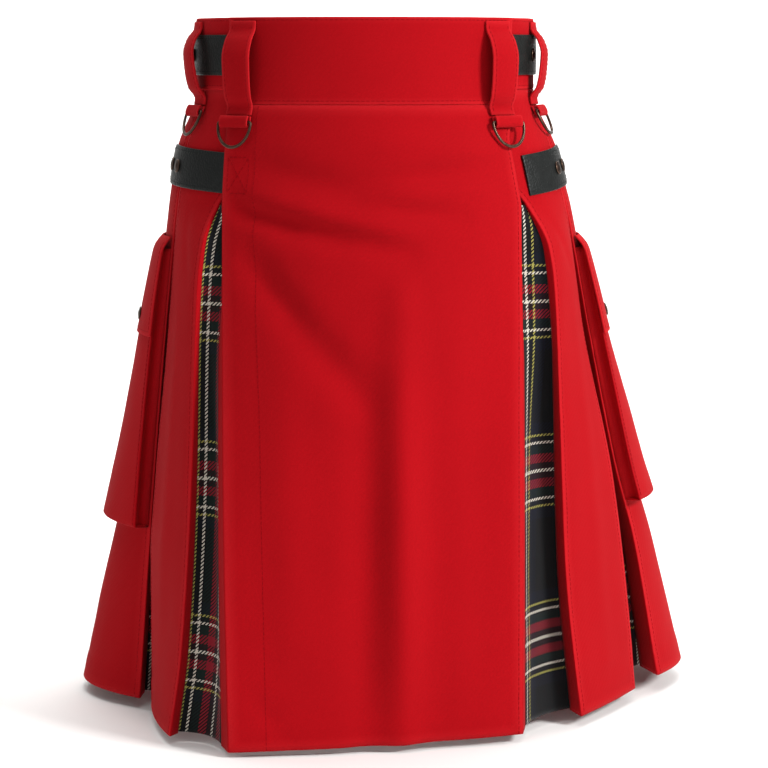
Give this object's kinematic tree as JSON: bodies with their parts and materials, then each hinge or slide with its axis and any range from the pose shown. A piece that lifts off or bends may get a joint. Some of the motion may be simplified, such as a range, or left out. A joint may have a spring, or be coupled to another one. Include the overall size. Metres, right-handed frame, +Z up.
{
  "type": "utility kilt",
  "caption": "Wrap kilt in red cotton, hollow in its worn shape, with dark tartan pleat insets, leather straps, hanging rings and bellows pockets.",
  "frame": {"origin": "middle of the waist opening, level with the top edge of the waistband", "axes": "+Z up, -Y towards the front of the garment, +X to the right as seen from the front"},
  "size_m": [0.5573, 0.3934, 0.607],
  "materials": {
    "red_cotton": "matt cotton twill",
    "dark_tartan_wool": "matt woollen twill in a dark check",
    "black_leather": "pebbled",
    "bronzed_metal": "bronzed, satin"
  },
  "bodies": {
    "garment": {"apron": "red_cotton", "under_apron": "red_cotton", "waistband_apron": "red_cotton", "waistband_side_and_back": "red_cotton", "waistband_under_apron": "red_cotton", "pleat_panel_right_1": "red_cotton", "pleat_panel_right_2": "red_cotton", "pleat_panel_right_3": "red_cotton", "pleat_panel_right_4": "red_cotton", "pleat_panel_back": "red_cotton", "pleat_panel_left_4": "red_cotton", "pleat_panel_left_3": "red_cotton", "pleat_panel_left_2": "red_cotton", "pleat_panel_left_1": "red_cotton", "belt_loop_front_left": "red_cotton", "belt_loop_front_right": "red_cotton", "belt_loop_side_left": "red_cotton", "belt_loop_side_right": "red_cotton", "belt_loop_back_left": "red_cotton", "belt_loop_back": "red_cotton", "belt_loop_back_right": "red_cotton", "ring_tab_front_left": "red_cotton", "ring_tab_front_right": "red_cotton", "ring_tab_side_left": "red_cotton", "ring_tab_side_right": "red_cotton", "pocket_left": "red_cotton", "pocket_right": "red_cotton", "pocket_flap_left": "red_cotton", "pocket_flap_right": "red_cotton", "tartan_inset_right_1": "dark_tartan_wool", "tartan_inset_right_2": "dark_tartan_wool", "tartan_inset_right_3": "dark_tartan_wool", "tartan_inset_right_4": "dark_tartan_wool", "tartan_inset_right_5": "dark_tartan_wool", "tartan_inset_left_5": "dark_tartan_wool", "tartan_inset_left_4": "dark_tartan_wool", "tartan_inset_left_3": "dark_tartan_wool", "tartan_inset_left_2": "dark_tartan_wool", "tartan_inset_left_1": "dark_tartan_wool", "strap_upper_left": "black_leather", "strap_upper_right": "black_leather", "strap_lower_left": "black_leather", "strap_lower_right": "black_leather", "strap_snap_upper_left_1": "bronzed_metal", "strap_snap_upper_right_1": "bronzed_metal", "strap_snap_lower_left_1": "bronzed_metal", "strap_snap_lower_left_2": "bronzed_metal", "strap_snap_lower_right_1": "bronzed_metal", "strap_snap_lower_right_2": "bronzed_metal", "flap_snap_left_1": "bronzed_metal", "flap_snap_left_2": "bronzed_metal", "flap_snap_right_1": "bronzed_metal", "flap_snap_right_2": "bronzed_metal"},
    "ring_front_left": {"d_ring_front_left": "bronzed_metal"},
    "ring_front_right": {"d_ring_front_right": "bronzed_metal"},
    "ring_side_left": {"d_ring_side_left": "bronzed_metal"},
    "ring_side_right": {"d_ring_side_right": "bronzed_metal"}
  },
  "joints": [
    {"name": "d_ring_front_left_swing", "type": "hinge", "parent": "garment", "child": "ring_front_left", "pos_m": [-0.10934, -0.09138, -0.0868], "axis": [-0.8336, 0.5524, 0], "range_deg": [0, 130]},
    {"name": "d_ring_front_right_swing", "type": "hinge", "parent": "garment", "child": "ring_front_right", "pos_m": [0.11953, -0.08338, -0.0868], "axis": [-0.7807, -0.6249, 0], "range_deg": [0, 130]},
    {"name": "d_ring_side_left_swing", "type": "hinge", "parent": "garment", "child": "ring_side_left", "pos_m": [-0.14683, -0.03805, -0.0788], "axis": [-0.4211, 0.907, 0], "range_deg": [0, 130]},
    {"name": "d_ring_side_right_swing", "type": "hinge", "parent": "garment", "child": "ring_side_right", "pos_m": [0.15057, -0.02433, -0.0788], "axis": [-0.2755, -0.9613, 0], "range_deg": [0, 130]}
  ]
}
